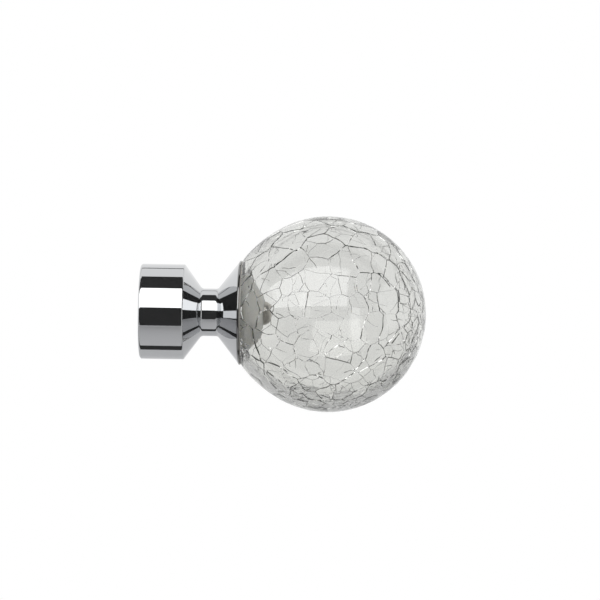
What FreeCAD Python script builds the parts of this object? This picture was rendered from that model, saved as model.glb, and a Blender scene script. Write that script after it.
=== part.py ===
import FreeCAD, Part
import Sketcher
import math
import os
import random
from FreeCAD import Vector

# Curtain pole finial: a turned end cap whose socket slides over the pole's end, and a blown, crackled
# glass ball on its flared cup. The axis runs along X, the socket's mouth faces -X, and the origin is the
# centre of the socket's floor, where the pole's end comes to rest. All lengths are in millimetres.

SIZES = [
    # Pole socket
    ("pole_diameter", 28.0, "the pole that the socket slides over"),
    ("pole_clearance", 0.15, "gap all round the pole"),
    ("socket_depth", 14.0, "from the mouth to the floor"),
    ("socket_wall", 2.85, "socket round the pole"),
    ("socket_length", 15.8, "outside, from the mouth to the first cone"),
    ("mouth_round", 0.9, "rounding of the mouth's outer edge"),
    ("mouth_chamfer", 0.6, "lead-in for the pole"),
    ("socket_round", 0.7, "rounding between socket and cone"),
    # Cone, neck and cup
    ("rear_cone_length", 6.2, "socket to neck"),
    ("neck_diameter", 17.0, "waist of the turning"),
    ("neck_length", 5.7, "straight part of the waist"),
    ("neck_fillet", 1.4, "where the cones run into the neck"),
    ("cup_length", 8.4, "neck to rim"),
    ("rim_diameter", 37.3, "outer diameter of the cup's rim"),
    ("rim_face", 2.75, "width of the flat rim that the ball sits on"),
    ("rim_land", 0.55, "narrow straight band round the rim"),
    ("rim_round", 0.25, "rounding of the rim's outer edges"),
    ("cup_depth", 5.6, "from the rim down to the cup's floor"),
    # Fixing screw and its washer
    ("screw_diameter", 5.0, "nominal size of the thread"),
    ("screw_length", 20.0, "under the head"),
    ("screw_clearance", 0.25, "screw to the hole through the neck, all round"),
    ("head_diameter", 9.5, "pan head"),
    ("head_height", 3.7, "pan head"),
    ("head_round", 1.5, "crown of the pan head"),
    ("drive_width", 1.1, "arm of the cross recess"),
    ("drive_span", 4.8, "across the cross recess"),
    ("drive_depth", 2.2, "depth of the cross recess"),
    ("washer_diameter", 10.0, "outside of the lock washer"),
    ("washer_thickness", 1.2, "lock washer"),
    ("washer_split", 0.8, "gap in the lock washer's ring"),
    ("recess_gap", 0.5, "lock washer to the counterbore, all round"),
    ("head_sink", 0.7, "head below the socket's floor"),
    # Grub screw
    ("grub_diameter", 4.0, "nominal size of the thread"),
    ("grub_sunk", 0.1, "set screw below the outside of the socket"),
    ("grub_key", 2.0, "hexagon across flats"),
    ("grub_key_depth", 1.5, "depth of the hexagon"),
    ("grub_point", 0.5, "chamfer round the point"),
    ("grub_shy", 0.05, "point held back from the bore"),
    ("grub_angle", 30.0, "degrees from straight down, towards the wall"),
    ("thread_gap", 0.05, "between a thread and its hole"),
    # Glass ball
    ("ball_diameter", 70.0, "outside of the globe"),
    ("glass_wall", 3.0, "thickness of the blown wall"),
    ("shoulder_extra", 8.5, "radius of the fuller curve to the mouth, beyond the ball's own"),
    ("shoulder_angle", 64.0, "degrees from the axis, where that curve starts"),
    ("glass_overhang", 0.53, "the glass's edge outside the cup's rim"),
    ("glass_seat", 3.65, "from the rim's edge in to the bore that is ground in the mouth"),
    ("mouth_polish", 0.5, "fire-polished edge of the mouth"),
    ("ring_thickness", 0.5, "soft ring between rim and glass"),
    ("ring_inset", 0.25, "ring's edge inside the rim's edge"),
    ("ring_gap", 0.15, "ring to plug"),
    # Plug and its insert
    ("plug_gap", 0.15, "plug to the glass's mouth"),
    ("plug_taper_gap", 0.3, "plug to the cup's cone"),
    ("plug_collar", 1.3, "straight part of the plug above the rim"),
    ("plug_dome", 7.6, "height of the dome above that"),
    ("insert_diameter", 8.4, "outside of the threaded insert"),
    ("insert_tip", 2.2, "insert beyond the dome"),
    ("insert_round", 2.8, "rounding of the insert's end"),
    ("flange_lip", 1.6, "flange moulded into the plug, round the insert"),
    ("flange_thickness", 1.5, "that flange"),
    ("flange_height", 3.0, "that flange above the plug's foot"),
    ("thread_runout", 1.6, "blind thread beyond the screw's end"),
    # Crackle
    ("crack_width", 0.2, "a crack's opening at the surface"),
    ("crack_depth", 0.45, "how deep the crack is"),
    ("crack_proud", 0.12, "how far the cutting blade stands out of the skin"),
    ("crack_cell", 19.0, "usual size of the cells that the cracks leave"),
    ("crack_stop", 0.05, "a crack ends this far short of the one that it meets"),
    ("crack_length", 14.0, "longest crack without a break"),
    ("crack_bridge", 0.4, "glass left between two lengths of one crack"),
    ("crack_margin", 13.0, "bare glass round the mouth"),
    ("crack_pattern", 7, "number of the pattern that the cracks follow"),
]

doc = FreeCAD.newDocument("curtain_pole_finial")
sheet = doc.addObject("Spreadsheet::Sheet", "Sizes")
for row, (alias, number, note) in enumerate(SIZES, start=1):
    sheet.set(f"A{row}", str(number))
    sheet.setAlias(f"A{row}", alias)
    sheet.set(f"B{row}", note)
doc.recompute()

# Radii, each worked out from the sizes above
BORE = "(Sizes.pole_diameter / 2 + Sizes.pole_clearance)"
SOCKET = f"({BORE} + Sizes.socket_wall)"
NECK_SIDE = "(Sizes.neck_diameter / 2)"
RIM_EDGE = "(Sizes.rim_diameter / 2)"
RIM_INSIDE = f"({RIM_EDGE} - Sizes.rim_face)"
CUP_SLOPE = f"(({RIM_EDGE} - {NECK_SIDE}) / (Sizes.cup_length - Sizes.rim_land))"
CUP_FLOOR_RADIUS = f"({RIM_INSIDE} - Sizes.cup_depth * {CUP_SLOPE})"
SCREW = "(Sizes.screw_diameter / 2)"
SCREW_HOLE = f"({SCREW} + Sizes.screw_clearance)"
HEAD = "(Sizes.head_diameter / 2)"
WASHER = "(Sizes.washer_diameter / 2)"
RECESS = f"({WASHER} + Sizes.recess_gap)"
GLASS_BORE = f"({RIM_EDGE} - Sizes.glass_seat)"
PLUG = f"({GLASS_BORE} - Sizes.plug_gap)"
INSERT = "(Sizes.insert_diameter / 2)"
INSERT_FLANGE = f"({INSERT} + Sizes.flange_lip)"

# The glass's section, measured from the ball's centre
R_OUT = "(Sizes.ball_diameter / 2)"
R_IN = f"({R_OUT} - Sizes.glass_wall)"
S_OUT = f"({R_OUT} + Sizes.shoulder_extra)"
S_IN = f"({S_OUT} - Sizes.glass_wall)"
COS = "cos(Sizes.shoulder_angle * 1 deg)"
SIN = "sin(Sizes.shoulder_angle * 1 deg)"
SHOULDER_X = f"(Sizes.shoulder_extra * {COS})"
SHOULDER_Y = f"(-Sizes.shoulder_extra * {SIN})"
EDGE_Y = f"({RIM_EDGE} + Sizes.glass_overhang)"
EDGE_X = f"({SHOULDER_X} - sqrt({S_OUT}^2 - ({EDGE_Y} - {SHOULDER_Y})^2))"

# Places along the axis, each worked out from the sizes above
FLOOR = "0"
MOUTH = "(-Sizes.socket_depth)"
CONE = "(Sizes.socket_length - Sizes.socket_depth)"
NECK = f"({CONE} + Sizes.rear_cone_length)"
CUP = f"({NECK} + Sizes.neck_length)"
RIM = f"({CUP} + Sizes.cup_length)"
CUP_FLOOR = f"({RIM} - Sizes.cup_depth)"
BALL = f"({RIM} + Sizes.ring_thickness - {EDGE_X})"
HEAD_SEAT = "(Sizes.head_sink + Sizes.head_height)"
RECESS_FLOOR = f"({HEAD_SEAT} + Sizes.washer_thickness)"


def value(expression):
    """The number that an expression over the sheet gives."""
    return float(sheet.evalExpression(str(expression)))


def origin_plane(body, role):
    return next(f for f in body.Origin.OriginFeatures if f.Role == role)


def new_body(label, x_place="0"):
    """A body of its own on the finial's axis, with its zero at x_place."""
    body = doc.addObject("PartDesign::Body", label)
    body.Label = label
    body.setExpression("Placement.Base.x", x_place)
    return body


def new_sketch(body, name, role="XY_Plane"):
    sketch = body.newObject("Sketcher::SketchObject", name)
    sketch.AttachmentSupport = (origin_plane(body, role), [""])
    sketch.MapMode = "FlatFace"
    return sketch


def pin(sketch, geometry, end, kind, expression):
    """Hold a point of the sketch at an expression: kind is DistanceX or DistanceY."""
    if expression == "0":
        axis = -2 if kind == "DistanceX" else -1
        sketch.addConstraint(Sketcher.Constraint("PointOnObject", geometry, end, axis))
        return
    size = Sketcher.Constraint(kind, -1, 1, geometry, end, value(expression))
    index = sketch.addConstraint(size)
    sketch.setExpression(f"Constraints[{index}]", expression)


def pin_point(sketch, geometry, end, x, y):
    pin(sketch, geometry, end, "DistanceX", x)
    pin(sketch, geometry, end, "DistanceY", y)


def arc_about(centre, start, end):
    """The arc about a centre that runs counter-clockwise from start to end."""
    angles = [math.atan2(p.y - centre.y, p.x - centre.x) for p in (start, end)]
    if angles[1] < angles[0]:
        angles[1] += 2 * math.pi
    circle = Part.Circle(centre, Vector(0, 0, 1), start.distanceToPoint(centre))
    return Part.ArcOfCircle(circle, angles[0], angles[1])


def outline(sketch, corners):
    """A closed outline of straight lines through (x, y) expressions."""
    places = [Vector(value(x), value(y), 0) for x, y in corners]
    count = len(corners)
    for i in range(count):
        sketch.addGeometry(Part.LineSegment(places[i], places[(i + 1) % count]), False)
    for i in range(count):
        sketch.addConstraint(Sketcher.Constraint("Coincident", i, 2, (i + 1) % count, 1))
    for i, (x, y) in enumerate(corners):
        pin_point(sketch, i, 1, x, y)


def turn(body, sketch, name):
    """The sketch turned all the way round the X axis."""
    turned = body.newObject("PartDesign::Revolution", name)
    turned.Profile = sketch
    turned.ReferenceAxis = (sketch, ["H_Axis"])
    turned.Angle = 360
    doc.recompute()
    return turned


def turned_body(label, corners, x_place="0"):
    body = new_body(label, x_place)
    sketch = new_sketch(body, f"{label}_profile")
    outline(sketch, corners)
    turn(body, sketch, f"{label}_turned")
    return body


def circles_at(shape, x, radius):
    """Names of the round edges at a place along the axis."""
    names = []
    for number, edge in enumerate(shape.Edges, start=1):
        if edge.Degenerated or not isinstance(edge.Curve, Part.Circle):
            continue
        curve = edge.Curve
        if abs(curve.Center.x - value(x)) < 1e-4 and abs(curve.Radius - value(radius)) < 1e-4:
            names.append(f"Edge{number}")
    return names


def dress(body, kind, name, size, places):
    """A fillet or chamfer on the round edges at the given (x, radius) places."""
    base = body.Tip
    names = [edge for x, radius in places for edge in circles_at(base.Shape, x, radius)]
    feature = body.newObject(kind, name)
    feature.Base = (base, names)
    feature.setExpression("Radius" if kind.endswith("Fillet") else "Size", size)
    doc.recompute()
    return feature


def make_end_cap():
    """Socket, cone, neck and flared cup in one turning, with the grub screw's hole through the socket."""
    label = "end_cap_turning"
    body = turned_body(label, [
        (MOUTH, BORE),
        (MOUTH, SOCKET),
        (CONE, SOCKET),
        (NECK, NECK_SIDE),
        (CUP, NECK_SIDE),
        (f"({RIM} - Sizes.rim_land)", RIM_EDGE),
        (RIM, RIM_EDGE),
        (RIM, RIM_INSIDE),
        (CUP_FLOOR, CUP_FLOOR_RADIUS),
        (CUP_FLOOR, SCREW_HOLE),
        (RECESS_FLOOR, SCREW_HOLE),
        (RECESS_FLOOR, RECESS),
        (FLOOR, RECESS),
        (FLOOR, BORE),
    ])
    neck_ends = [(NECK, NECK_SIDE), (CUP, NECK_SIDE)]
    dress(body, "PartDesign::Fillet", "neck_runs", "Sizes.neck_fillet", neck_ends)
    dress(body, "PartDesign::Fillet", "socket_edge", "Sizes.socket_round", [(CONE, SOCKET)])
    dress(body, "PartDesign::Fillet", "mouth_edge", "Sizes.mouth_round", [(MOUTH, SOCKET)])
    rim_edges = [(f"({RIM} - Sizes.rim_land)", RIM_EDGE), (RIM, RIM_EDGE)]
    dress(body, "PartDesign::Fillet", "rim_edge", "Sizes.rim_round", rim_edges)
    dress(body, "PartDesign::Chamfer", "pole_lead_in", "Sizes.mouth_chamfer", [(MOUTH, BORE)])

    hole = doc.addObject("Part::Cylinder", "grub_hole")
    hole.setExpression("Radius", "Sizes.grub_diameter / 2 + Sizes.thread_gap")
    hole.setExpression("Height", f"{SOCKET} * 2")
    place_on_grub_line(hole, "0")
    cap = doc.addObject("Part::Cut", "end_cap")
    cap.Label = "end_cap"
    cap.Base = body
    cap.Tool = hole
    return cap


def place_on_grub_line(feature, out):
    """Stand a feature on the grub screw's line, its own Z pointing out of the socket's wall."""
    turn_by = "(180 + Sizes.grub_angle)"
    feature.setExpression("Placement.Rotation.Angle", turn_by)
    feature.Placement.Rotation.Axis = Vector(1, 0, 0)
    feature.setExpression("Placement.Base.x", "-Sizes.socket_depth / 2")
    feature.setExpression("Placement.Base.y", f"-sin({turn_by} * 1 deg) * ({out})")
    feature.setExpression("Placement.Base.z", f"cos({turn_by} * 1 deg) * ({out})")


def make_grub_screw():
    """M4 set screw with a chamfered point, its point just short of the pole's bore."""
    body = new_body("grub_screw")
    length = "(Sizes.socket_wall - Sizes.grub_shy - Sizes.grub_sunk)"
    place_on_grub_line(body, f"{BORE} + Sizes.grub_shy")
    sketch = new_sketch(body, "grub_profile", "XZ_Plane")
    outline(sketch, [
        ("0", "0"),
        ("Sizes.grub_diameter / 2 - Sizes.grub_point", "0"),
        ("Sizes.grub_diameter / 2", "Sizes.grub_point"),
        ("Sizes.grub_diameter / 2", length),
        ("0", length),
    ])
    turned = body.newObject("PartDesign::Revolution", "grub_turned")
    turned.Profile = sketch
    turned.ReferenceAxis = (sketch, ["V_Axis"])
    turned.Angle = 360
    doc.recompute()
    corner = "Sizes.grub_key / 2 / cos(30 deg)"
    key = new_sketch(body, "grub_key", "XY_Plane")
    key.setExpression("AttachmentOffset.Base.z", length)
    outline(key, [(f"{corner} * cos({60 * i} deg)", f"{corner} * sin({60 * i} deg)") for i in range(6)])
    pocket = body.newObject("PartDesign::Pocket", "grub_socket")
    pocket.Profile = key
    pocket.setExpression("Length", "Sizes.grub_key_depth")
    doc.recompute()
    return body


def make_fixing_screw():
    """Pan head screw with a cross recess, its zero at the underside of the head."""
    body = turned_body("fixing_screw", [
        ("-Sizes.head_height", "0"),
        ("-Sizes.head_height", HEAD),
        ("0", HEAD),
        ("0", SCREW),
        ("Sizes.screw_length", SCREW),
        ("Sizes.screw_length", "0"),
    ], HEAD_SEAT)
    crown = ("-Sizes.head_height", HEAD)
    dress(body, "PartDesign::Fillet", "head_crown", "Sizes.head_round", [crown])
    arm, reach = "Sizes.drive_width / 2", "Sizes.drive_span / 2"
    quarter = [(reach, arm), (arm, arm), (arm, reach)]
    cross = new_sketch(body, "drive_cross", "YZ_Plane")
    cross.setExpression("AttachmentOffset.Base.z", "-Sizes.head_height")
    corners = []
    for across, up in quarter:
        corners.append((across, up))
    for across, up in reversed(quarter):
        corners.append((f"-{across}", up))
    for across, up in quarter:
        corners.append((f"-{across}", f"-{up}"))
    for across, up in reversed(quarter):
        corners.append((across, f"-{up}"))
    outline(cross, corners)
    pocket = body.newObject("PartDesign::Pocket", "drive_recess")
    pocket.Profile = cross
    pocket.setExpression("Length", "Sizes.drive_depth")
    pocket.Reversed = True
    doc.recompute()
    return body


def make_lock_washer():
    """Ring of spring steel, split once."""
    inside, outside = SCREW_HOLE, WASHER
    body = turned_body("lock_washer", [
        ("0", inside),
        ("0", outside),
        ("Sizes.washer_thickness", outside),
        ("Sizes.washer_thickness", inside),
    ], HEAD_SEAT)
    body.Tip.setExpression("Angle", f"360 - Sizes.washer_split / ({inside} + {outside}) * 2 * 180 / pi")
    doc.recompute()
    return body


def make_seat_ring():
    """Soft clear ring on the cup's rim, under the glass."""
    return turned_body("seat_ring", [
        ("0", f"{PLUG} + Sizes.ring_gap"),
        ("0", f"{RIM_EDGE} - Sizes.ring_inset"),
        ("Sizes.ring_thickness", f"{RIM_EDGE} - Sizes.ring_inset"),
        ("Sizes.ring_thickness", f"{PLUG} + Sizes.ring_gap"),
    ], RIM)


# Along the plug and the insert, measured from the plug's foot on the cup's floor
FLANGE = "Sizes.flange_height"
FLANGE_TOP = "(Sizes.flange_height + Sizes.flange_thickness)"
COLLAR_TOP = "(Sizes.cup_depth + Sizes.plug_collar)"
DOME_TOP = f"({COLLAR_TOP} + Sizes.plug_dome)"


def make_threaded_insert():
    """Blind metal insert with a round end and a flange that keys it into the plug."""
    tip = f"({DOME_TOP} + Sizes.insert_tip)"
    thread = f"({SCREW} + Sizes.thread_gap)"
    depth = f"({HEAD_SEAT} + Sizes.screw_length - {CUP_FLOOR} + Sizes.thread_runout)"
    body = turned_body("threaded_insert", [
        ("0", thread),
        ("0", INSERT),
        (FLANGE, INSERT),
        (FLANGE, INSERT_FLANGE),
        (FLANGE_TOP, INSERT_FLANGE),
        (FLANGE_TOP, INSERT),
        (tip, INSERT),
        (tip, "0"),
        (depth, "0"),
        (depth, thread),
    ], CUP_FLOOR)
    dress(body, "PartDesign::Fillet", "round_end", "Sizes.insert_round", [(tip, INSERT)])
    return body


def make_ball_plug():
    """Moulded plug: a taper in the cup, a collar in the glass's mouth and a dome inside the ball."""
    foot = f"({CUP_FLOOR_RADIUS} - Sizes.plug_taper_gap)"
    taper_top = f"(({PLUG} - {foot}) / {CUP_SLOPE})"
    dome_radius = f"(({PLUG}^2 + Sizes.plug_dome^2) / 2 / Sizes.plug_dome)"
    dome_centre = f"({DOME_TOP} - {dome_radius})"
    dome_edge = f"({dome_centre} + sqrt({dome_radius}^2 - ({INSERT})^2))"
    corners = [
        (COLLAR_TOP, PLUG),
        (taper_top, PLUG),
        ("0", foot),
        ("0", INSERT),
        (FLANGE, INSERT),
        (FLANGE, INSERT_FLANGE),
        (FLANGE_TOP, INSERT_FLANGE),
        (FLANGE_TOP, INSERT),
        (dome_edge, INSERT),
    ]
    body = new_body("ball_plug", CUP_FLOOR)
    sketch = new_sketch(body, "plug_profile")
    places = [Vector(value(x), value(y), 0) for x, y in corners]
    for start, end in zip(places, places[1:]):
        sketch.addGeometry(Part.LineSegment(start, end), False)
    lines = len(corners) - 1
    centre = Vector(value(dome_centre), 0, 0)
    sketch.addGeometry(arc_about(centre, places[-1], places[0]), False)
    for i in range(lines):
        sketch.addConstraint(Sketcher.Constraint("Coincident", i, 2, i + 1, 1))
    sketch.addConstraint(Sketcher.Constraint("Coincident", lines, 2, 0, 1))
    for i, (x, y) in enumerate(corners[:-1]):
        pin_point(sketch, i, 1, x, y)
    pin_point(sketch, lines, 3, dome_centre, "0")
    pin(sketch, lines, 1, "DistanceY", INSERT)
    turn(body, sketch, "plug_turned")
    return body


def make_globe():
    """The blown globe without its cracks: a sphere that fills out into a shoulder above a ground mouth."""
    bore_x = f"({SHOULDER_X} - sqrt({S_IN}^2 - ({GLASS_BORE} - {SHOULDER_Y})^2))"
    corners = {
        "pole": (R_OUT, "0"),
        "joint": (f"(-{R_OUT} * {COS})", f"({R_OUT} * {SIN})"),
        "edge": (EDGE_X, EDGE_Y),
        "mouth": (EDGE_X, GLASS_BORE),
        "bore": (bore_x, GLASS_BORE),
        "inner_joint": (f"(-{R_IN} * {COS})", f"({R_IN} * {SIN})"),
        "inner_pole": (R_IN, "0"),
    }
    at = {name: Vector(value(x), value(y), 0) for name, (x, y) in corners.items()}
    middle = Vector(0, 0, 0)
    shoulder = Vector(value(SHOULDER_X), value(SHOULDER_Y), 0)

    body = new_body("globe", BALL)
    sketch = new_sketch(body, "globe_profile")
    outer, outer_shoulder, face, bored, inner_shoulder, inner, axis = range(7)
    sketch.addGeometry(arc_about(middle, at["pole"], at["joint"]), False)
    sketch.addGeometry(arc_about(shoulder, at["joint"], at["edge"]), False)
    sketch.addGeometry(Part.LineSegment(at["edge"], at["mouth"]), False)
    sketch.addGeometry(Part.LineSegment(at["mouth"], at["bore"]), False)
    sketch.addGeometry(arc_about(shoulder, at["inner_joint"], at["bore"]), False)
    sketch.addGeometry(arc_about(middle, at["inner_pole"], at["inner_joint"]), False)
    sketch.addGeometry(Part.LineSegment(at["inner_pole"], at["pole"]), False)
    meets = [
        (outer, 2, outer_shoulder, 1),
        (outer_shoulder, 2, face, 1),
        (face, 2, bored, 1),
        (bored, 2, inner_shoulder, 2),
        (inner_shoulder, 1, inner, 2),
        (inner, 1, axis, 1),
        (axis, 2, outer, 1),
    ]
    for meeting in meets:
        sketch.addConstraint(Sketcher.Constraint("Coincident", *meeting))
    for arc in (outer, inner):
        sketch.addConstraint(Sketcher.Constraint("Coincident", arc, 3, -1, 1))
        pin(sketch, arc, 1, "DistanceY", "0")
    for arc in (outer_shoulder, inner_shoulder):
        pin_point(sketch, arc, 3, SHOULDER_X, SHOULDER_Y)
    pin_point(sketch, outer, 2, *corners["joint"])
    pin_point(sketch, inner, 2, *corners["inner_joint"])
    pin(sketch, face, 1, "DistanceX", EDGE_X)
    pin_point(sketch, face, 2, *corners["mouth"])
    pin(sketch, bored, 2, "DistanceY", GLASS_BORE)
    turn(body, sketch, "globe_turned")
    dress(body, "PartDesign::Fillet", "mouth_polish", "Sizes.mouth_polish", [(EDGE_X, EDGE_Y)])
    return body


def skin_point(direction):
    """The point of the glass's outer skin in a direction from the ball's centre."""
    ball, shoulder = value(R_OUT), value(S_OUT)
    run = math.hypot(direction.y, direction.z)
    if math.degrees(math.atan2(run, -direction.x)) >= value("Sizes.shoulder_angle"):
        return direction * ball
    lean = direction.x * value(SHOULDER_X) + run * value(SHOULDER_Y)
    return direction * (lean + math.sqrt(lean**2 + shoulder**2 - (shoulder - ball) ** 2))


class Crack:
    """An arc on the unit sphere, from start over middle to end."""

    def __init__(self, start, middle, end):
        self.start = start
        self.axis = (middle - start).cross(end - middle).normalize()
        self.centre = self.axis * self.axis.dot(start)
        first, last = start - self.centre, end - self.centre
        turn_by = math.atan2(self.axis.dot(first.cross(last)), first.dot(last))
        self.angle = turn_by % (2 * math.pi)
        self.length = self.angle * first.Length
        self.stops = (0, 0)

    def point(self, share):
        turn_by = FreeCAD.Rotation(self.axis, math.degrees(self.angle * share))
        return self.centre + turn_by.multVec(self.start - self.centre)

    def heading(self, share):
        return self.axis.cross(self.point(share) - self.centre).normalize()

    def piece(self, low, high):
        return Crack(self.point(low), self.point((low + high) / 2), self.point(high))


def walk(cell, distance):
    """Where a walk round a cell's edge ends: the number of the edge and the share of it that is behind."""
    distance %= sum(crack.length for crack in cell)
    for number, crack in enumerate(cell):
        if distance < crack.length:
            return number, distance / crack.length
        distance -= crack.length
    return len(cell) - 1, 0.5


def cell_area(cell):
    """About the area of a cell of the unit sphere."""
    points = [crack.point(share) for crack in cell for share in (0, 0.5)]
    area = Vector(0, 0, 0)
    for here, after in zip(points, points[1:] + points[:1]):
        area += here.cross(after) / 2
    return area.Length


def clearance(crack, cell):
    """How near the middle of a crack comes to the edges of its cell."""
    shares = [step / 8 for step in range(9)]
    middle = [crack.point(share) for share in shares[2:-2]]
    edges = [edge.point(share) for edge in cell for share in shares]
    return min(here.distanceToPoint(there) for here in middle for there in edges)


# How a cell of the network is split by its next crack
TRIES = 5
START_SHARE = (0.3, 0.7)  # along the cell's longest edge
ACROSS_SHARE = (0.38, 0.62)  # of the way round the cell, from there to the end
CORNER_SHARE = 0.2  # of the far edge, kept from both its corners
BOW = 0.1  # of a crack's length, to either side
LEAST_LEAN = 0.3  # sine of the flattest angle at which one crack meets another
AREA_SPREAD = (0.6, 1.6)  # of the area at which a cell is left whole
PAST_POLE = (0.05, 0.1)  # how far the first crack keeps from the ball's far pole


def split(cell, chance, stop):
    """A crack from the cell's longest edge to the far side, and the two cells that it leaves."""
    around = sum(crack.length for crack in cell)
    longest = max(range(len(cell)), key=lambda number: cell[number].length)
    cell = cell[longest:] + cell[:longest]
    trials = []
    for _ in range(TRIES):
        share = chance.uniform(*START_SHARE)
        across, far_share = walk(cell, cell[0].length * share + around * chance.uniform(*ACROSS_SHARE))
        if across == 0:
            continue
        far_share = min(max(far_share, CORNER_SHARE), 1 - CORNER_SHARE)
        start, end = cell[0].point(share), cell[across].point(far_share)
        bow = start.cross(end).normalize() * start.distanceToPoint(end) * chance.uniform(-BOW, BOW)
        crack = Crack(start, ((start + end) / 2 + bow).normalize(), end)
        leans = [crack.heading(0).cross(cell[0].heading(share)).Length,
                 crack.heading(1).cross(cell[across].heading(far_share)).Length]
        crack.stops = [stop / max(lean, LEAST_LEAN) for lean in leans]
        worth = clearance(crack, cell) / crack.length + LEAST_LEAN * min(leans)
        trials.append((worth, crack, share, across, far_share))
    _, crack, share, across, far_share = max(trials, key=lambda trial: trial[0])
    back = Crack(crack.point(1), crack.point(0.5), crack.point(0))
    near = [cell[0].piece(share, 1), *cell[1:across], cell[across].piece(0, far_share), back]
    far = [cell[across].piece(far_share, 1), *cell[across + 1:], cell[0].piece(0, share), crack]
    return crack, [near, far]


def crackle():
    """The network of cracks: each one starts and ends on an older one, until the cells are small."""
    chance = random.Random(value("Sizes.crack_pattern"))
    ball = value(R_OUT)
    margin = math.atan2(value(EDGE_Y), -value(EDGE_X)) + value("Sizes.crack_margin") / ball
    stop = (value("Sizes.crack_width") + value("Sizes.crack_stop")) / ball
    smallest = (value("Sizes.crack_cell") / ball) ** 2
    turned = chance.uniform(0, math.pi)

    def on_margin(quarter):
        around = turned + quarter * math.pi / 2
        return Vector(-1 / math.tan(margin), math.cos(around), math.sin(around)).normalize()

    one, two, three, four = (on_margin(quarter) for quarter in range(4))
    far = (Vector(1, 0, 0) + (two - four) * chance.uniform(*PAST_POLE)).normalize()
    first, back = Crack(one, far, three), Crack(three, far, one)
    waiting = [[first, Crack(three, two, one)], [back, Crack(one, four, three)]]
    cracks = [first]
    while waiting:
        cell = waiting.pop()
        if cell_area(cell) < smallest * chance.uniform(*AREA_SPREAD):
            continue
        crack, cells = split(cell, chance, stop)
        cracks.append(crack)
        waiting.extend(cells)
    return cracks


def lengths(crack):
    """A crack in lengths short enough to follow the skin, with a bridge of glass between one and the next."""
    ball = value(R_OUT)
    bridge = value("Sizes.crack_bridge") / 2 / ball
    count = math.ceil(crack.length / (value("Sizes.crack_length") / ball))
    low, high = crack.stops[0] / crack.length, 1 - crack.stops[1] / crack.length
    cuts = [low + (high - low) * number / count for number in range(count + 1)]
    gap = bridge / crack.length
    starts = [low] + [cut + gap for cut in cuts[1:-1]]
    ends = [cut - gap for cut in cuts[1:-1]] + [high]
    return [crack.piece(start, end) for start, end in zip(starts, ends)]


def crack_blade(crack):
    """A V-shaped blade along a crack, square to the glass's skin."""
    depth, proud = value("Sizes.crack_depth"), value("Sizes.crack_proud")
    half = value("Sizes.crack_width") / 2 * (depth + proud) / depth
    start, middle, end = (skin_point(crack.point(share)) for share in (0, 0.5, 1))
    centre = Part.Circle(start, middle, end).Center
    axis = (middle - start).cross(end - middle).normalize()
    first, last = start - centre, end - centre
    angle = math.degrees(math.atan2(axis.dot(first.cross(last)), first.dot(last))) % 360
    up = Vector(start).normalize()
    side = up.cross(first.cross(axis)).normalize()
    top = start + up * proud
    corners = [top + side * half, start - up * depth, top - side * half]
    section = Part.Face(Part.makePolygon([*corners, corners[0]]))
    return section.revolve(centre, axis, angle)


def make_glass_ball():
    """The globe with its crackle cut into the skin."""
    globe = make_globe()
    cuts = doc.addObject("Part::Feature", "crackle")
    pieces = [piece for crack in crackle() for piece in lengths(crack)]
    cuts.Shape = Part.makeCompound([crack_blade(piece) for piece in pieces])
    cuts.setExpression("Placement.Base.x", BALL)
    ball = doc.addObject("Part::Cut", "glass_ball")
    ball.Label = "glass_ball"
    ball.Base = globe
    ball.Tool = cuts
    return ball


def check_and_write(parts):
    doc.recompute()
    for thing in doc.Objects:
        if {"Invalid", "Error"} & set(thing.State):
            raise RuntimeError(f"{thing.Name} did not build")
    for part in parts:
        shape = part.Shape
        if shape.isNull() or not shape.isValid() or len(shape.Solids) != 1:
            raise RuntimeError(f"{part.Label} is not one sound solid")
    os.makedirs("parts", exist_ok=True)
    for part in parts:
        part.Shape.exportStep(f"parts/{part.Label}.step")
        print(part.Label, round(part.Shape.Volume, 1), "mm3")


check_and_write([
    make_end_cap(),
    make_grub_screw(),
    make_fixing_screw(),
    make_lock_washer(),
    make_seat_ring(),
    make_threaded_insert(),
    make_ball_plug(),
    make_glass_ball(),
])
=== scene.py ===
import math
import random

import bmesh
import bpy
from mathutils import Matrix, Vector, noise


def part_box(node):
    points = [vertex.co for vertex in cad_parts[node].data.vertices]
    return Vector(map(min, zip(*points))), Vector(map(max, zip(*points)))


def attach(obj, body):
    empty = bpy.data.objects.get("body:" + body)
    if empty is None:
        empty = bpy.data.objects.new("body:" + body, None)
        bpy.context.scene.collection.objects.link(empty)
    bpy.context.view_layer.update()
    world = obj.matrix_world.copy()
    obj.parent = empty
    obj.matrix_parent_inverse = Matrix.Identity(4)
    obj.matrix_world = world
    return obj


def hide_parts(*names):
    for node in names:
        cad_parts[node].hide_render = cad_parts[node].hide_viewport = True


# Curtain pole finial: chromed end cap and crackled glass ball, on one axis along X. The pole comes in from -X.
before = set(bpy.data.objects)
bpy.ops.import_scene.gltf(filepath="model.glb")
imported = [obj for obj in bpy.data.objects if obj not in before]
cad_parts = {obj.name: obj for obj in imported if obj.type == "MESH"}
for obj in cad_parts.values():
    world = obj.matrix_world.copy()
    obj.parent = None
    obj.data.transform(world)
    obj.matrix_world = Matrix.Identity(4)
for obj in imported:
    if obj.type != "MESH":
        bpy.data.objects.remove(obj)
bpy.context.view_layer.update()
mm = 0.001
print("frame loaded:", sorted(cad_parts))

camera = {
    "turn": 2.62,  # degrees round the finial, towards the ball's end
    "height": 3.0,  # degrees above the horizon
    "roll": 0.80,  # degrees, the axis falls a little to the right
    "distance": 3.573,
    "lookAt": (0.04302, 0.0, 0.00493),
    "lens": 600.0,
    "sensor": 36.0,
    "clip": (0.05, 20.0),
}


def onSphere(across, up):
    # direction at degrees round from -Y towards +X, and degrees up
    across, up = math.radians(across), math.radians(up)
    return Vector((math.sin(across) * math.cos(up), -math.cos(across) * math.cos(up), math.sin(up)))


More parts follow.
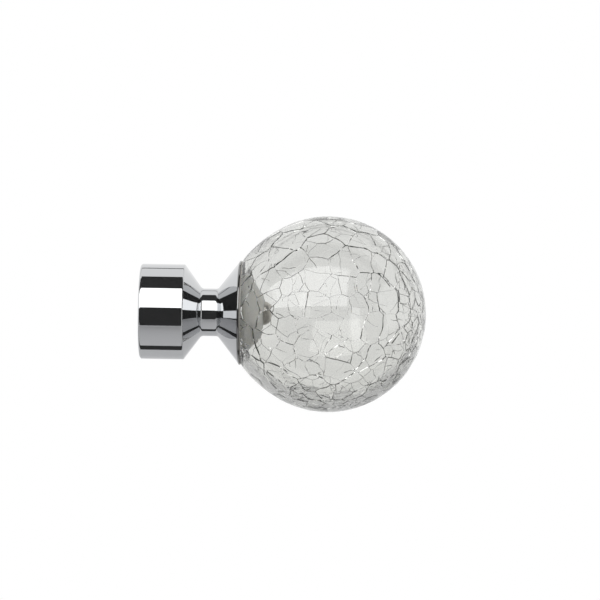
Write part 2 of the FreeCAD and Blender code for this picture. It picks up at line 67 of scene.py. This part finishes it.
def makeCamera():
    back = onSphere(camera["turn"], camera["height"])
    data = bpy.data.cameras.new("studioCamera")
    data.lens, data.sensor_width = camera["lens"], camera["sensor"]
    data.clip_start, data.clip_end = camera["clip"]
    studioCamera = bpy.data.objects.new("studioCamera", data)
    bpy.context.scene.collection.objects.link(studioCamera)
    level = (-back).to_track_quat("-Z", "Y").to_matrix().to_4x4()
    rolled = level @ Matrix.Rotation(math.radians(camera["roll"]), 4, "Z")
    place = Vector(camera["lookAt"]) + back * camera["distance"]
    studioCamera.matrix_world = Matrix.Translation(place) @ rolled
    bpy.context.scene.camera = studioCamera


makeCamera()
print("camera set")


# small helpers for materials

def setSockets(tree, node, sockets):
    for key, source in sockets.items():
        if isinstance(source, bpy.types.NodeSocket):
            tree.links.new(source, node.inputs[key])
        else:
            node.inputs[key].default_value = source


def addNode(tree, kind, settings, sockets):
    node = tree.nodes.new(kind)
    for key, setting in settings.items():
        setattr(node, key, setting)
    setSockets(tree, node, sockets)
    return node


def addMath(tree, operation, *terms, clamp=False):
    node = addNode(tree, "ShaderNodeMath", {"operation": operation, "use_clamp": clamp}, dict(enumerate(terms)))
    return node.outputs["Value"]


def addMix(tree, factor, plain, other):
    mix = addNode(tree, "ShaderNodeMix", {"data_type": "RGBA"}, {"Factor": factor, "A": plain, "B": other})
    return mix.outputs["Result"]


def addNoise(tree, place, scale, detail):
    node = addNode(tree, "ShaderNodeTexNoise", {}, {"Vector": place, "Scale": scale, "Detail": detail})
    return node.outputs["Fac"]


def addBump(tree, shader, height, strength, distance):
    bump = addNode(tree, "ShaderNodeBump", {}, {"Strength": strength, "Distance": distance, "Height": height})
    tree.links.new(bump.outputs["Normal"], shader.inputs["Normal"])


def addMarks(tree, place, roughness, smearSize):
    plain, smeared = roughness
    sockets = {"Vector": place, "Plain": plain, "Smeared": smeared, "Smear Size": smearSize}
    return addNode(tree, "ShaderNodeGroup", {"node_tree": handlingMarks}, sockets).outputs


def shade(color, factor):
    return [min(1, channel * factor) for channel in color[:3]] + [1]


def objectPlace(tree):
    return tree.nodes.new("ShaderNodeTexCoord").outputs["Object"]


def newMaterial(name, plainSockets):
    material = bpy.data.materials.new(name)
    material.use_nodes = True
    tree = material.node_tree
    tree.nodes.clear()
    output = tree.nodes.new("ShaderNodeOutputMaterial")
    shader = addNode(tree, "ShaderNodeBsdfPrincipled", {}, plainSockets)
    tree.links.new(shader.outputs["BSDF"], output.inputs["Surface"])
    return material, tree, shader, output


def newGroup(name, inputs, outputs):
    # an input without a number is a vector, and every output is a number
    group = bpy.data.node_groups.new(name, "ShaderNodeTree")
    for label, start in inputs.items():
        kind = "NodeSocketVector" if start is None else "NodeSocketFloat"
        socket = group.interface.new_socket(label, in_out="INPUT", socket_type=kind)
        if start is not None:
            socket.default_value = start
    for label in outputs:
        group.interface.new_socket(label, in_out="OUTPUT", socket_type="NodeSocketFloat")
    entry, result = group.nodes.new("NodeGroupInput"), group.nodes.new("NodeGroupOutput")
    return group, entry.outputs, result


# patterns that more than one finish uses

handling = {
    "smear": {"Detail": 4.0, "Roughness": 0.6, "Distortion": 0.4},
    "smearSpan": {"From Min": 0.45, "From Max": 0.8},
    "hairScale": (60.0, 900.0, 900.0),  # drawn out along X
    "hair": {"Scale": 1.0, "Detail": 2.0, "Roughness": 0.5},
}


def makeHandlingGroup():
    # faint smears and hairlines that handling leaves on a hard surface
    group, entry, result = newGroup(
        "handlingMarks", {"Vector": None, "Plain": 0.05, "Smeared": 0.12, "Smear Size": 90.0},
        ["Roughness", "Height"])
    smear = addNode(group, "ShaderNodeTexNoise", {}, {
        "Vector": entry["Vector"], "Scale": entry["Smear Size"], **handling["smear"]})
    where = addNode(group, "ShaderNodeMapRange", {"interpolation_type": "SMOOTHSTEP"}, {
        "Value": smear.outputs["Fac"], "To Min": entry["Plain"], "To Max": entry["Smeared"],
        **handling["smearSpan"]})
    drawn = addNode(group, "ShaderNodeMapping", {}, {"Vector": entry["Vector"], "Scale": handling["hairScale"]})
    hair = addNode(group, "ShaderNodeTexNoise", {}, {"Vector": drawn.outputs["Vector"], **handling["hair"]})
    setSockets(group, result, {"Roughness": where.outputs["Result"], "Height": hair.outputs["Fac"]})
    return group


def makeRadiusGroup():
    # 1 inside a given distance from the X axis, 0 outside, between two places along it
    group, entry, result = newGroup(
        "nearAxis", {"Vector": None, "Radius": 0.0145, "Start": -1.0, "End": 0.0, "Edge": 0.0002}, ["Mask"])
    place = addNode(group, "ShaderNodeSeparateXYZ", {}, {"Vector": entry["Vector"]}).outputs
    flat = addNode(group, "ShaderNodeCombineXYZ", {}, {"Y": place["Y"], "Z": place["Z"]})
    away = addNode(group, "ShaderNodeVectorMath", {"operation": "LENGTH"}, {0: flat.outputs["Vector"]})
    gap = addMath(group, "SUBTRACT", entry["Radius"], away.outputs["Value"])
    near = addMath(group, "DIVIDE", gap, entry["Edge"], clamp=True)
    after = addMath(group, "GREATER_THAN", place["X"], entry["Start"])
    before = addMath(group, "LESS_THAN", place["X"], entry["End"])
    within = addMath(group, "MULTIPLY", after, before)
    group.links.new(addMath(group, "MULTIPLY", near, within), result.inputs["Mask"])
    return group


handlingMarks = makeHandlingGroup()
nearAxis = makeRadiusGroup()


# studio

studio = {
    "dome": 0.97,  # plain light from all round
    "cardStep": 3,  # degrees to a step of a curved card
    "floorHeight": -0.25,
    "floorSize": (1.45, 0.98),
    "floorGrid": (24, 16),
    "floorTone": (0.77, 0.77, 0.78, 1),
    "paper": (3.0, 3.0),  # scale and detail of the floor's faint mottle
    "paperLift": 1.02,
}
# name, from, to (degrees about the X axis, 0 towards the camera's side, up positive), radius, tone, from, to along X
cards = [
    ("frontFlag", -31.0, 12.5, 0.47, 0.055, -1.6, 0.31),
    ("frontEdge", -31.0, 12.5, 0.47, 0.3, 0.44, 1.7),
    ("topFlag", 61.0, 96.5, 0.9, 0.055, -1.6, 1.7),
    ("sideFlag", 12.5, 61.0, 0.9, 0.055, 0.45, 1.7),
    ("seamStrip", 130.0, 134.5, 0.88, 0.3, -1.6, 1.7),
    ("slotStrip", -101.0, -86.0, 0.24, 0.05, -1.6, 1.7),
]
# the same for the cards that shine, with their strength in place of the tone
lamps = [
    ("softbox", 12.5, 61.0, 0.9, 2.2, -1.6, 0.45),
    ("sidePanel", -31.0, 12.5, 0.47, 1.4, 0.31, 0.44),
]


def makeWorld():
    world = bpy.data.worlds.new("studioDome")
    bpy.context.scene.world = world
    world.use_nodes = True
    tree = world.node_tree
    tree.nodes.clear()
    output = tree.nodes.new("ShaderNodeOutputWorld")
    path = tree.nodes.new("ShaderNodeLightPath").outputs
    shown = addMath(tree, "ADD", path["Is Camera Ray"], path["Is Glossy Ray"], clamp=True)
    shown = addMath(tree, "ADD", shown, path["Is Transmission Ray"], clamp=True)
    light, white = (
        addNode(tree, "ShaderNodeBackground", {}, {"Color": (1, 1, 1, 1), "Strength": strength})
        for strength in (studio["dome"], 1.0))
    mix = addNode(tree, "ShaderNodeMixShader", {}, {
        "Fac": shown, 1: light.outputs["Background"], 2: white.outputs["Background"]})
    tree.links.new(mix.outputs["Shader"], output.inputs["Surface"])


def linkMesh(bm, name, material):
    mesh = bpy.data.meshes.new(name)
    bm.to_mesh(mesh)
    bm.free()
    mesh.materials.append(material)
    thing = bpy.data.objects.new(name, mesh)
    bpy.context.scene.collection.objects.link(thing)
    return thing


def makeCard(name, start, end, radius, fromX, toX, material):
    # a strip of a tube round the X axis, which shows only in what the finial mirrors and lets through
    bm = bmesh.new()
    a, b = math.radians(start), math.radians(end)
    first = [bm.verts.new((x, -radius * math.cos(a), radius * math.sin(a))) for x in (fromX, toX)]
    edge = bm.edges.new(first)
    bmesh.ops.spin(bm, geom=[*first, edge], cent=(0, 0, 0), axis=(1, 0, 0), angle=a - b,
                   steps=max(2, round((end - start) / studio["cardStep"])), use_merge=False, use_duplicate=False)
    card = linkMesh(bm, name, material)
    card.visible_camera = False
    return card


def makeFloor():
    bm = bmesh.new()
    columns, rows = studio["floorGrid"]
    bmesh.ops.create_grid(bm, x_segments=columns, y_segments=rows, size=1)
    bmesh.ops.scale(bm, verts=bm.verts, vec=(*studio["floorSize"], 1))
    bmesh.ops.translate(bm, verts=bm.verts, vec=(0, 0, studio["floorHeight"]))
    material, tree, shader, _ = newMaterial("paleFloor", {"Roughness": 0.9, "Specular IOR Level": 0.1})
    mottle = addNoise(tree, objectPlace(tree), *studio["paper"])
    tone = addMix(tree, mottle, studio["floorTone"], shade(studio["floorTone"], studio["paperLift"]))
    tree.links.new(tone, shader.inputs["Base Color"])
    linkMesh(bm, "studioFloor", material)


def makeStudio():
    makeWorld()
    for name, start, end, radius, tone, fromX, toX in cards:
        material = newMaterial(name, {
            "Base Color": (tone, tone, tone, 1), "Roughness": 1.0, "Specular IOR Level": 0.0})[0]
        card = makeCard(name, start, end, radius, fromX, toX, material)
        if name == "slotStrip":
            # so close to the finial, it would shade it
            card.visible_diffuse = card.visible_shadow = False
    for name, start, end, radius, strength, fromX, toX in lamps:
        material = newMaterial(name, {
            "Base Color": (0, 0, 0, 1), "Emission Color": (1, 1, 1, 1), "Emission Strength": strength})[0]
        makeCard(name, start, end, radius, fromX, toX, material)
    makeFloor()


makeStudio()
print("studio lit")


# glass ball: a smooth outer wall, and an inner wall with the crackle, made on a sphere of radius 1

glass = {
    "radius": 35.0 * mm,
    "wall": 3.0 * mm,
    "shoulderAngle": 64.0,  # degrees from the mouth's side of the axis
    "shoulderExtra": 8.5 * mm,  # by which the shoulder's arc is larger than the ball's
    "faceAt": -30.52 * mm,  # the ground mouth, from the ball's centre
    "faceRadius": 19.18 * mm,
    "polish": 0.5 * mm,
    "polishShare": (1.2, 0.9),  # of it, up the shoulder and into the face
    "bore": 15.0 * mm,
    "lip": 0.3 * mm,
    "arcSteps": (84, 28),  # ball, shoulder
    "cornerSteps": 6,
    "faceSteps": 3,
    "turnSteps": 176,
    "subdivisions": 6,
    "cells": 12000,  # tries
    "spacing": (10.5, 3.3),  # mm between the middles of the crackle's cells, plain and where it is finest
    "neighbours": 36,  # the nearest cells that can bound one
    "reach": 0.4,  # past its own octant, for a cell
    "fineBack": 0.45,  # plain beyond this on the far side
    "fineEase": {"top": 0.2, "mouth": 0.08},
    "fineStart": 0.62,
    "fineRamp": 0.2,
    "backRamp": 3,
    "backThin": 0.45,  # off the width of a crack on the far side
    "backShallow": 0.5,  # off its depth
    "crackHalf": (0.06, 0.15),  # mm, half the opening of a crack
    "crackDepth": (0.3, 0.9),  # mm, into the wall
    "widthNoise": 9.0,
    "depthNoise": (12.0, 1.2),  # scale and swing
    "dashes": 1.6,  # short cracks to a cell, on average
    "dashLength": (0.7, 3.0),  # mm
    "dashHalfReach": 0.05,
    "dashShare": (0.8, 0.7),  # of a crack's width and depth
    "dashRoom": (12, 5),  # least faces inside the cell, and near the dash
    "tilt": 0.014,  # of a cell's surface
    "warp": [(0.055, 3.1, (3.1, 7.7, 1.3)), (0.03, 7.0, (1.7, 0.4, 5.2))],  # size, scale, offset
    "calmAngle": 0.06,  # radians from the mouth over which the crackle sets in
    "snap": 1e-7,
    "touch": 1e-5,
    "mouthTouch": 1e-4,  # radians
    "holeSides": 8,
    "seed": 11,
    "ior": 1.5,
    "tint": (0.99, 0.99, 0.985, 1),
    "tintDrop": 0.99,
    # painted shade: a darker tint towards the bottom of the ball
    "lowPaintedShade": (0.955, 0.955, 0.945, 1),
    "lowShadeSpan": (0.01, -0.022),  # heights between which the painted shade low on the ball sets in
    "absorb": (0.5, 0.51, 0.47, 1),
    "density": 84.0,
    "cloud": (40.0, 2.0),  # scale and detail
    "wave": (55.0, 1.0),
    "waveBump": (0.08, 0.0006),  # strength and distance
}
glass["centre"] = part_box("glass_ball")[1].x - glass["radius"]
glass["inner"] = glass["radius"] - glass["wall"]
# middles of the cells on the front: degrees round to the ball's end and degrees up, from the ball's centre
frontCells = [
    (-3, 50), (-27, 33), (-44, 53), (-53, 35), (-4, 26), (4, 21), (16, 34), (16, 22), (26, 21),
    (-18, 21), (-26, 19), (-28, 7), (-17, 10), (-4, 9), (10, 10), (20, 11), (-24, -6), (-9, -6),
    (3, -4), (-1, -13), (7, -15), (18, -5), (32, -6), (31, 11), (23, -21), (12, -21), (-13, -19),
    (-29, -23), (-40, -14), (-37, -2), (-6, -30), (-19, -32), (9, -32), (32, -26), (41, 34), (32, 36),
    (42, 54), (58, 49), (24, 82), (50, 27), (65, 20), (38, 21), (41, 10), (44, -6), (57, -12),
    (-10, -47), (-34, -45), (39, -35), (-67, 48), (29, -46), (-46, 41), (-41, 21), (-37, 11),
]


def clamp(value):
    return min(1, max(0, value))


def spread(ends, share):
    low, high = ends
    return low + (high - low) * share


def spinArc(bm, tip, centre, angle, steps):
    # extends a profile in the XY plane by an arc from its last vertex
    made = bmesh.ops.spin(bm, geom=[tip], cent=(*centre, 0), axis=(0, 0, 1), angle=angle, steps=steps,
                          use_merge=False, use_duplicate=False)
    return next(item for item in made["geom_last"] if isinstance(item, bmesh.types.BMVert))


def drawLine(bm, tip, to, steps=1):
    start = tip.co.copy()
    for step in range(steps):
        tip = bmesh.ops.extrude_vert_indiv(bm, verts=[tip])["verts"][0]
        tip.co = start.lerp(Vector((*to, 0)), (step + 1) / steps)
    return tip


def shoulderCentre():
    turn, extra = math.radians(glass["shoulderAngle"]), glass["shoulderExtra"]
    return extra * math.cos(turn), -extra * math.sin(turn)


def innerReach(direction):
    # distance from the ball's centre to the inner wall
    run = math.hypot(direction.y, direction.z)
    fromMouth = math.degrees(math.atan2(run, -direction.x))
    if fromMouth >= glass["shoulderAngle"]:
        return glass["inner"]
    x, y = shoulderCentre()
    lean = direction.x * x + run * y
    shoulder = glass["inner"] + glass["shoulderExtra"]
    return lean + math.sqrt(lean ** 2 - glass["shoulderExtra"] ** 2 + shoulder ** 2)


def makeOuterWall(bm):
    # profile from the far pole to the bore, drawn about the ball's centre and turned round the X axis
    ballSteps, shoulderSteps = glass["arcSteps"]
    upShoulder, intoFace = glass["polishShare"]
    tip = bm.verts.new((glass["radius"], 0, 0))
    tip = spinArc(bm, tip, (0, 0), math.pi - math.radians(glass["shoulderAngle"]), ballSteps)
    centre = Vector(shoulderCentre())
    corner = Vector((glass["faceAt"], glass["faceRadius"]))
    joint, edge = tip.co.xy - centre, corner - centre
    sweep = math.atan2(joint.cross(edge), joint.dot(edge))
    tip = spinArc(bm, tip, centre, sweep - glass["polish"] * upShoulder / edge.length, shoulderSteps)
    start = tip.co.xy
    rim = Vector((glass["faceAt"], glass["faceRadius"] - glass["polish"] * intoFace))
    for step in range(glass["cornerSteps"]):
        share = (step + 1) / glass["cornerSteps"]
        tip = drawLine(bm, tip, start.lerp(corner, share).lerp(corner.lerp(rim, share), share))
    tip = drawLine(bm, tip, (glass["faceAt"], glass["bore"]), glass["faceSteps"])
    drawLine(bm, tip, (glass["faceAt"] + glass["lip"], glass["bore"]))
    bmesh.ops.spin(bm, geom=[*bm.verts, *bm.edges], cent=(0, 0, 0), axis=(1, 0, 0), angle=math.tau,
                   steps=glass["turnSteps"], use_merge=True, use_duplicate=False)
    bmesh.ops.remove_doubles(bm, verts=bm.verts, dist=glass["snap"])


def backward(place):
    # 1 on the side away from the camera, where the cracks are finer and shallower
    return clamp(place.y * glass["backRamp"])


def fineness(place):
    # 1 where the crackle is finest: towards the ball's end, low down, and less near the top and the mouth
    if place.y > glass["fineBack"]:
        return 0
    ease = glass["fineEase"]
    furthest = max(place.x, -place.z, place.z - ease["top"], -place.x - ease["mouth"])
    return clamp((furthest - glass["fineStart"]) / glass["fineRamp"])


def randomVector(chance):
    return Vector((chance.gauss(0, 1), chance.gauss(0, 1), chance.gauss(0, 1)))


def placeCells(chance):
    # middles of all the cells: the front's own, then others wherever there is room
    plain, finest = glass["spacing"]
    places = [onSphere(across, up) for across, up in frontCells]
    for _ in range(glass["cells"]):
        place = randomVector(chance).normalized()
        fine = fineness(place)
        apart = (plain * (1 - fine) + finest * fine) * mm / glass["inner"]
        if min((place - other).length for other in places) > apart:
            places.append(place)
    return places


def cutAt(bm, faces, normal, offset, clear=False):
    # a dictionary keeps the order of what it holds, so that every run cuts alike
    geom = dict.fromkeys(faces)
    for face in faces:
        geom.update(dict.fromkeys([*face.edges, *face.verts]))
    cut = bmesh.ops.bisect_plane(bm, geom=list(geom), dist=glass["snap"], plane_co=normal * offset,
                                 plane_no=normal, clear_outer=clear)
    return [item for item in cut["geom"] if isinstance(item, bmesh.types.BMFace)]


def regionOf(ball, place, regions):
    # the part of the sphere that a cell at this place can reach
    side = tuple(1 if part > 0 else -1 for part in place)
    if side not in regions:
        region = ball.copy()
        far = [face for face in region.faces
               if any(part * sign < -glass["reach"] for part, sign in zip(face.calc_center_median(), side))]
        bmesh.ops.delete(region, geom=far, context="FACES")
        regions[side] = region
    return regions[side]


def makeCell(ball, place, places):
    # what is nearer to one place than to any other, with half of a crack along each side
    cell = ball.copy()
    groove, rift = cell.faces.layers.int["groove"], cell.verts.layers.float["rift"]
    nearest = sorted(places, key=lambda other: (other - place).length)[1:glass["neighbours"] + 1]
    sides = []
    for other in nearest:
        away = (other - place).normalized()
        if max(vert.co.dot(away) for vert in cell.verts) > glass["touch"]:
            cutAt(cell, cell.faces, away, 0.0, clear=True)
            sides.append((away, (other + place) / 2))
    border = dict.fromkeys(vert for vert in cell.verts if vert.is_boundary)
    for away, middle in sides:
        if max(vert.co.dot(away) for vert in cell.verts) < -glass["touch"]:
            continue
        share = clamp(0.5 + noise.noise(middle * glass["widthNoise"]))
        half = spread(glass["crackHalf"], share) * mm / glass["inner"] * (1 - glass["backThin"] * backward(middle))
        cutAt(cell, cell.faces, away, -half)
        for face in cell.faces:
            if face.calc_center_median().dot(away) > -half:
                face[groove] = 1
    # the border keeps only the corners that the next cell has too
    added = [vert for vert in cell.verts if vert.is_boundary and vert not in border]
    onto = {vert: min(border, key=lambda other: (other.co - vert.co).length_squared) for vert in added}
    bmesh.ops.weld_verts(cell, targetmap=onto)
    for vert in cell.verts:
        vert[rift] = 1.0 if vert.is_boundary else 0.0
    return cell, groove, rift


def addDash(cell, groove, rift, chance):
    # a short crack that ends within the cell
    leastInside, leastNear = glass["dashRoom"]
    width, depth = glass["dashShare"]
    inside = [face for face in cell.faces
              if not face[groove] and not any(vert.is_boundary for vert in face.verts)]
    if len(inside) < leastInside:
        return
    middle = chance.choice(inside).calc_center_median()
    turn = Matrix.Rotation(chance.uniform(0, math.tau), 3, middle.normalized())
    side = turn @ middle.orthogonal().normalized()
    along = middle.cross(side).normalized()
    length = chance.uniform(*glass["dashLength"]) * mm / glass["inner"]
    near = []
    for face in inside:
        away = face.calc_center_median() - middle
        if abs(away.dot(along)) < length and abs(away.dot(side)) < glass["dashHalfReach"]:
            near.append(face)
    if len(near) < leastNear:
        return
    half = chance.uniform(*glass["crackHalf"]) * width * mm / glass["inner"]
    offset = middle.dot(side)
    old = set(cell.verts)
    for step in (-half, 0.0, half):
        near = cutAt(cell, near, side, offset + step)
    strip = {face for face in near if abs(face.calc_center_median().dot(side) - offset) < half}
    for face in strip:
        face[groove] = 1
    for vert in {vert for face in strip for vert in face.verts} - old:
        if abs(vert.co.dot(side) - offset) < glass["touch"] and all(face in strip for face in vert.link_faces):
            vert[rift] = depth


def makeSphere():
    # the sphere that the cells are cut from, closer meshed where the crackle is fine
    ball = bmesh.new()
    bmesh.ops.create_icosphere(ball, subdivisions=glass["subdivisions"], radius=1)
    ball.faces.layers.int.new("groove")
    ball.faces.layers.int.new("cell")
    ball.verts.layers.float.new("rift")
    dense = dict.fromkeys(
        edge for face in ball.faces if fineness(face.calc_center_median()) > 0.5 for edge in face.edges)
    bmesh.ops.subdivide_edges(ball, edges=list(dense), cuts=1, use_grid_fill=True)
    bmesh.ops.triangulate(ball, faces=ball.faces)
    for vert in ball.verts:
        vert.co.normalize()
    return ball


def joinCells(chance, places):
    # all the cells with their dashes, welded to one sphere, and how far each cell's surface leans
    ball, regions, slopes = makeSphere(), {}, []
    bm = bmesh.new()
    carrier = bpy.data.meshes.new("cell")
    for number, place in enumerate(places):
        cell, groove, rift = makeCell(regionOf(ball, place, regions), place, places)
        for _ in range(round(chance.uniform(0, 2 * glass["dashes"]))):
            addDash(cell, groove, rift, chance)
        owner = cell.faces.layers.int["cell"]
        for face in cell.faces:
            face[owner] = number + 1
        slopes.append(randomVector(chance) * glass["tilt"])
        cell.to_mesh(carrier)
        cell.free()
        bm.from_mesh(carrier)
    for region in (ball, *regions.values()):
        region.free()
    bpy.data.meshes.remove(carrier)
    bmesh.ops.remove_doubles(bm, verts=bm.verts, dist=glass["touch"])
    bmesh.ops.holes_fill(bm, edges=[edge for edge in bm.edges if edge.is_boundary],
                         sides=glass["holeSides"])
    print("crackle cells:", len(places), "faces:", len(bm.faces),
          "open edges:", sum(edge.is_boundary for edge in bm.edges))
    return bm, slopes


def makeInnerWall():
    chance = random.Random(glass["seed"])
    noise.seed_set(glass["seed"])  # the vector noise would follow the clock without it
    places = placeCells(chance)
    bm, slopes = joinCells(chance, places)
    groove, owner = bm.faces.layers.int["groove"], bm.faces.layers.int["cell"]
    rift = bm.verts.layers.float["rift"]

    # bends the straight cuts into wandering ones
    for vert in bm.verts:
        away = Vector()
        for size, scale, offset in glass["warp"]:
            away += noise.noise_vector(vert.co * scale + Vector(offset)) * size
        vert.co = (vert.co + away).normalized()

    # cuts the mouth where the inner wall meets the bore
    x, y = shoulderCentre()
    shoulder = glass["inner"] + glass["shoulderExtra"]
    boreX = x - math.sqrt(shoulder ** 2 - (glass["bore"] - y) ** 2)
    mouth = math.atan2(glass["bore"], -boreX)
    bmesh.ops.bisect_plane(bm, geom=[*bm.verts, *bm.edges, *bm.faces], dist=glass["snap"],
                           plane_co=(-math.cos(mouth), 0, 0), plane_no=(-1, 0, 0), clear_outer=True)

    # takes the sphere out to the wall, with its cracks and its leaning cells
    scale, swing = glass["depthNoise"]
    for vert in bm.verts:
        direction = vert.co.normalized()
        fromMouth = math.acos(max(-1, min(1, -direction.x))) - mouth
        share = clamp(0.5 + swing * noise.noise(direction * scale))
        depth = spread(glass["crackDepth"], share) * mm * (1 - glass["backShallow"] * backward(direction))
        lift = vert[rift] * depth
        number = next((face[owner] for face in vert.link_faces if face[owner]), 0)
        if number and not lift:
            lift = (direction - places[number - 1]).dot(slopes[number - 1]) * glass["inner"]
        atMouth = abs(fromMouth) < glass["mouthTouch"]
        reach = math.hypot(boreX, glass["bore"]) if atMouth else innerReach(direction)
        vert.co = direction * (reach + lift * clamp(fromMouth / glass["calmAngle"]))
    for face in bm.faces:
        face.smooth = not face[groove]
    for edge in bm.edges:
        edge.smooth = not any(face[groove] for face in edge.link_faces)
    return bm


def makeGlassMaterial():
    material, tree, shader, output = newMaterial("crackleGlass", {
        "Transmission Weight": 1.0, "IOR": glass["ior"], "Roughness": 0.0})
    body = addNode(tree, "ShaderNodeVolumeAbsorption", {}, {"Color": glass["absorb"], "Density": glass["density"]})
    tree.links.new(body.outputs["Volume"], output.inputs["Volume"])
    place = objectPlace(tree)
    cloud = addNoise(tree, place, *glass["cloud"])
    tint = addMix(tree, cloud, shade(glass["tint"], glass["tintDrop"]), glass["tint"])
    parts = addNode(tree, "ShaderNodeSeparateXYZ", {}, {"Vector": place})
    # painted shade: the tint darkens towards the bottom of the ball
    high, deep = glass["lowShadeSpan"]
    low = addNode(tree, "ShaderNodeMapRange", {"interpolation_type": "SMOOTHSTEP"}, {
        "Value": parts.outputs["Z"], "From Min": high, "From Max": deep})
    tintWithShade = addMix(tree, low.outputs["Result"], tint, glass["lowPaintedShade"])
    tree.links.new(tintWithShade, shader.inputs["Base Color"])
    addBump(tree, shader, addNoise(tree, place, *glass["wave"]), *glass["waveBump"])
    return material


def makeGlassBall():
    outer = bmesh.new()
    makeOuterWall(outer)
    for face in outer.faces:
        face.smooth = True
    inner = makeInnerWall()
    for bm in (outer, inner):
        bmesh.ops.triangulate(bm, faces=[face for face in bm.faces if len(face.verts) > 4])
    carrier = bpy.data.meshes.new("innerWall")
    inner.to_mesh(carrier)
    inner.free()
    outer.from_mesh(carrier)
    bpy.data.meshes.remove(carrier)
    bridge = bmesh.ops.bridge_loops(outer, edges=[edge for edge in outer.edges if edge.is_boundary])
    for face in bridge["faces"]:
        face.smooth = True
    bmesh.ops.translate(outer, verts=outer.verts, vec=(glass["centre"], 0, 0))
    bmesh.ops.recalc_face_normals(outer, faces=outer.faces)
    print("glass ball faces:", len(outer.faces), "open edges:", sum(edge.is_boundary for edge in outer.edges))
    ball = linkMesh(outer, "crackled_ball", makeGlassMaterial())
    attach(ball, "root")
    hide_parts("glass_ball")


makeGlassBall()
print("glass ball blown")


# finishes of the pieces that stay as the frame has them

chrome = {
    "color": (0.60, 0.608, 0.618, 1),
    "insideColor": (0.42, 0.42, 0.415, 1),
    "insideRadius": 14.6 * mm,
    "insideSpan": (-13.9 * mm, 3.6 * mm),  # along X, short of the cone
    "insideRough": 0.25,
    "rimStart": 21.2 * mm,  # the narrow ring round the rim, which lies in the ball's shade; its dark grey is painted shade and a painted reflection of the dark gap
    "rimDepth": 10.0 * mm,
    "rimRadius": 18.3 * mm,
    # painted shade: dark grey on the ring round the rim, for the ball's shade and the dark gap that the rim mirrors
    "rimPaintedShade": (0.24, 0.24, 0.235, 1),
    "roughness": (0.025, 0.05),
    "smearSize": 70.0,
    "bump": (0.02, 0.00002),
}


def makeChrome():
    material, tree, shader, _ = newMaterial("chromePlate", {"Metallic": 1.0})
    place = objectPlace(tree)
    marks = addMarks(tree, place, chrome["roughness"], chrome["smearSize"])
    start, end = chrome["insideSpan"]
    rimStart, rimEnd = chrome["rimStart"], chrome["rimStart"] + chrome["rimDepth"]
    inside, core = (
        addNode(tree, "ShaderNodeGroup", {"node_tree": nearAxis}, {
            "Vector": place, "Radius": radius, "Start": first, "End": last}).outputs["Mask"]
        for radius, first, last in (
            (chrome["insideRadius"], start, end), (chrome["rimRadius"], rimStart, rimEnd)))
    color = addMix(tree, inside, chrome["color"], chrome["insideColor"])
    # painted shade on the ring round the rim, past the rim's start and outside the core radius
    along = addNode(tree, "ShaderNodeSeparateXYZ", {}, {"Vector": place}).outputs["X"]
    past = addMath(tree, "GREATER_THAN", along, rimStart)
    rimShadeMask = addMath(tree, "MULTIPLY", addMath(tree, "SUBTRACT", 1.0, core), past)
    tree.links.new(addMix(tree, rimShadeMask, color, chrome["rimPaintedShade"]), shader.inputs["Base Color"])
    rough = addMath(tree, "MULTIPLY_ADD", inside, chrome["insideRough"], marks["Roughness"], clamp=True)
    tree.links.new(rough, shader.inputs["Roughness"])
    addBump(tree, shader, marks["Height"], *chrome["bump"])
    return material


plain = {
    "smearSize": 400.0,
    "mottleDetail": 5.0,
    "bump": (0.1, 0.00005),
}
# material: color, roughness (plain, smeared), metallic, strength and scale of the grain, other sockets of the shader
plainFinishes = {
    "zincSteel": ((0.55, 0.56, 0.58), (0.28, 0.42), 1.0, 0.12, 900.0, {}),
    "blackSteel": ((0.045, 0.045, 0.05), (0.38, 0.5), 0.6, 0.2, 1200.0, {}),
    "insertMetal": ((0.50, 0.48, 0.44), (0.32, 0.45), 1.0, 0.1, 700.0, {}),
    "plugMoulding": ((0.98, 0.95, 0.885), (0.35, 0.5), 0.0, 0.05, 500.0, {
        "Subsurface Weight": 0.3, "Subsurface Radius": (0.002, 0.0018, 0.0014), "Subsurface Scale": 1.0}),
    "clearSeal": ((0.80, 0.78, 0.72), (0.3, 0.4), 0.0, 0.03, 600.0, {"Transmission Weight": 0.6, "IOR": 1.42}),
}
finishOf = {
    "end_cap": "chromePlate", "fixing_screw": "zincSteel", "lock_washer": "zincSteel", "grub_screw": "blackSteel",
    "threaded_insert": "insertMetal", "ball_plug": "plugMoulding", "seat_ring": "clearSeal",
}


def makePlainFinish(name, color, roughness, metallic, grain, grainScale, others):
    material, tree, shader, _ = newMaterial(name, {"Metallic": metallic, **others})
    place = objectPlace(tree)
    marks = addMarks(tree, place, roughness, plain["smearSize"])
    mottle = addNoise(tree, place, grainScale, plain["mottleDetail"])
    tone = addMix(tree, mottle, shade(color, 1 - grain), shade(color, 1 + grain))
    tree.links.new(tone, shader.inputs["Base Color"])
    tree.links.new(marks["Roughness"], shader.inputs["Roughness"])
    addBump(tree, shader, marks["Height"], *plain["bump"])
    return material


def makeFinishes():
    materials = {name: makePlainFinish(name, *row) for name, row in plainFinishes.items()}
    materials["chromePlate"] = makeChrome()
    for node, name in finishOf.items():
        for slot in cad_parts[node].material_slots:
            slot.material = materials[name]


makeFinishes()
print("finishes set")

bounces = {"max_bounces": 24, "transmission_bounces": 24, "glossy_bounces": 12}
scene = bpy.context.scene
scene.view_settings.view_transform = "Standard"
for setting, level in bounces.items():
    setattr(scene.cycles, setting, level)
